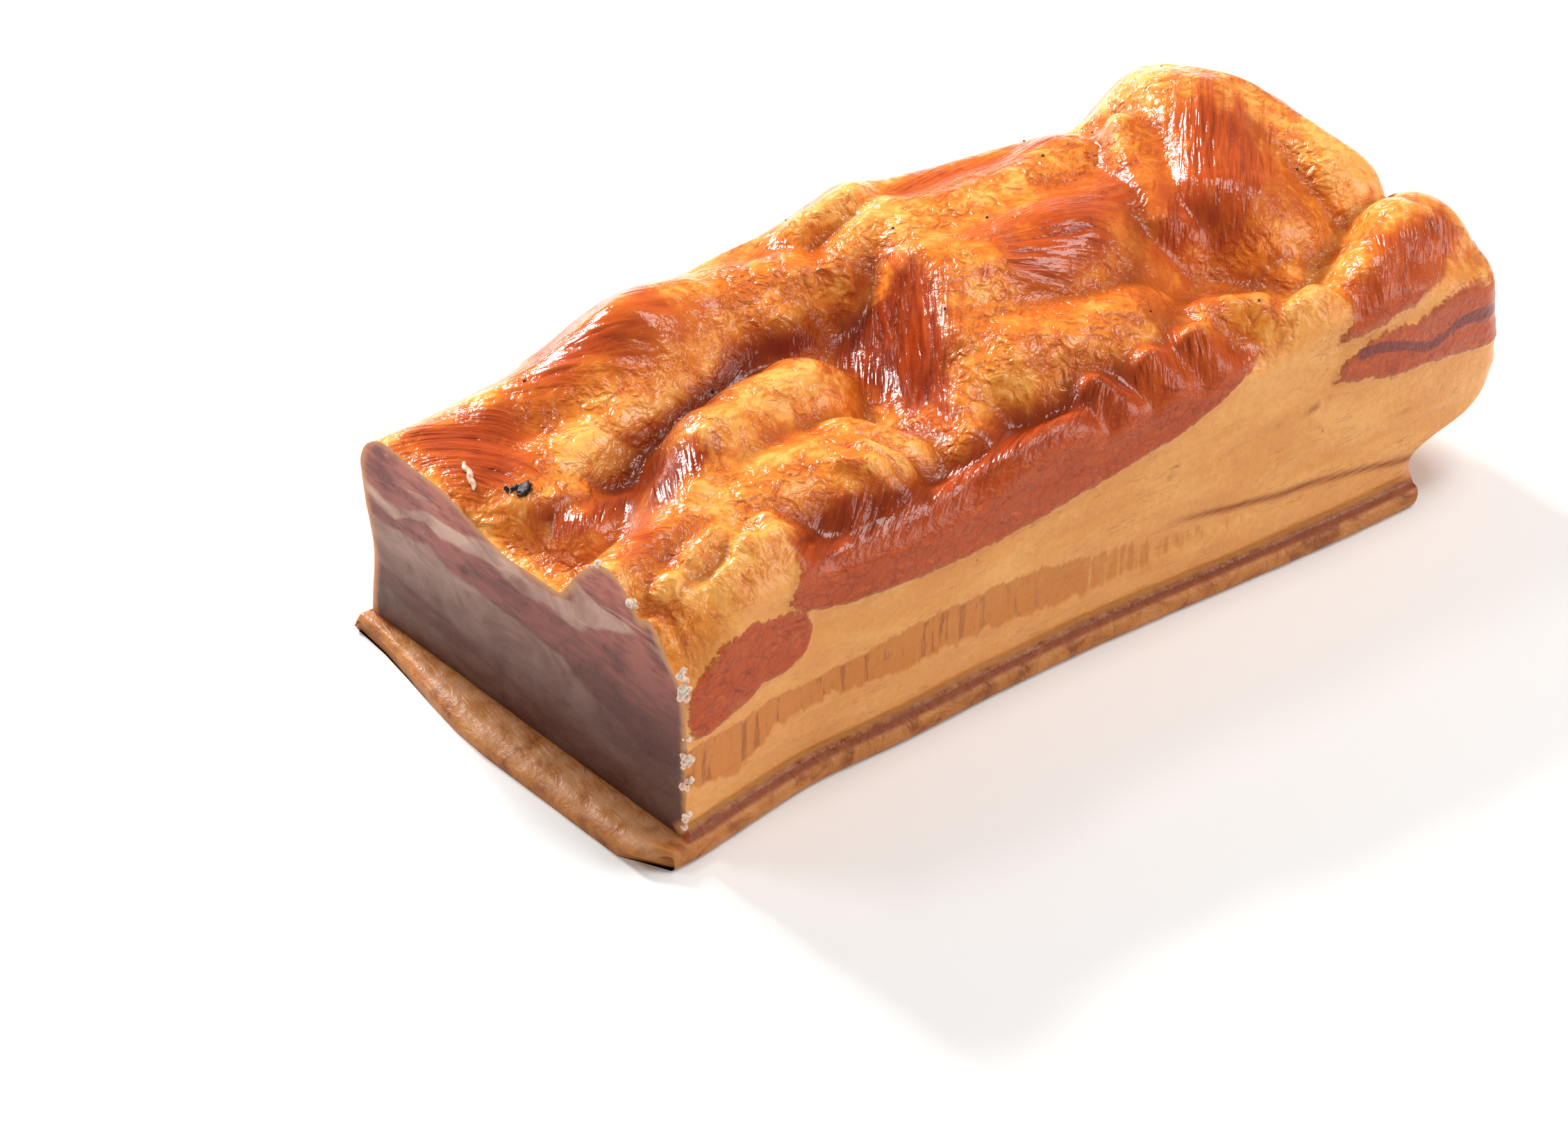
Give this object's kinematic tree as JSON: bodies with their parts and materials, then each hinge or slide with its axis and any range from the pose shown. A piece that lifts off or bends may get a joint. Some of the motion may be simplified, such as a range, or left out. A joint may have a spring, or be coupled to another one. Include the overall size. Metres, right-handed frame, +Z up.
{
  "type": "smoked pork belly",
  "caption": "Slab of smoked pork belly on its rind, cut across at one end, with rolls of muscle and fat on top.",
  "frame": {"origin": "bottom centre of the bounding box, on the plane the rind lies on", "axes": "+X along the slab from the cut end to the overhanging end, +Z up out of the rind"},
  "size_m": [0.2574, 0.11, 0.0838],
  "materials": {
    "smoked_meat": "moist satin, smoked brown over fat and lean"
  },
  "bodies": {
    "root": {"smoked_pork_belly": "smoked_meat"}
  },
  "joints": []
}
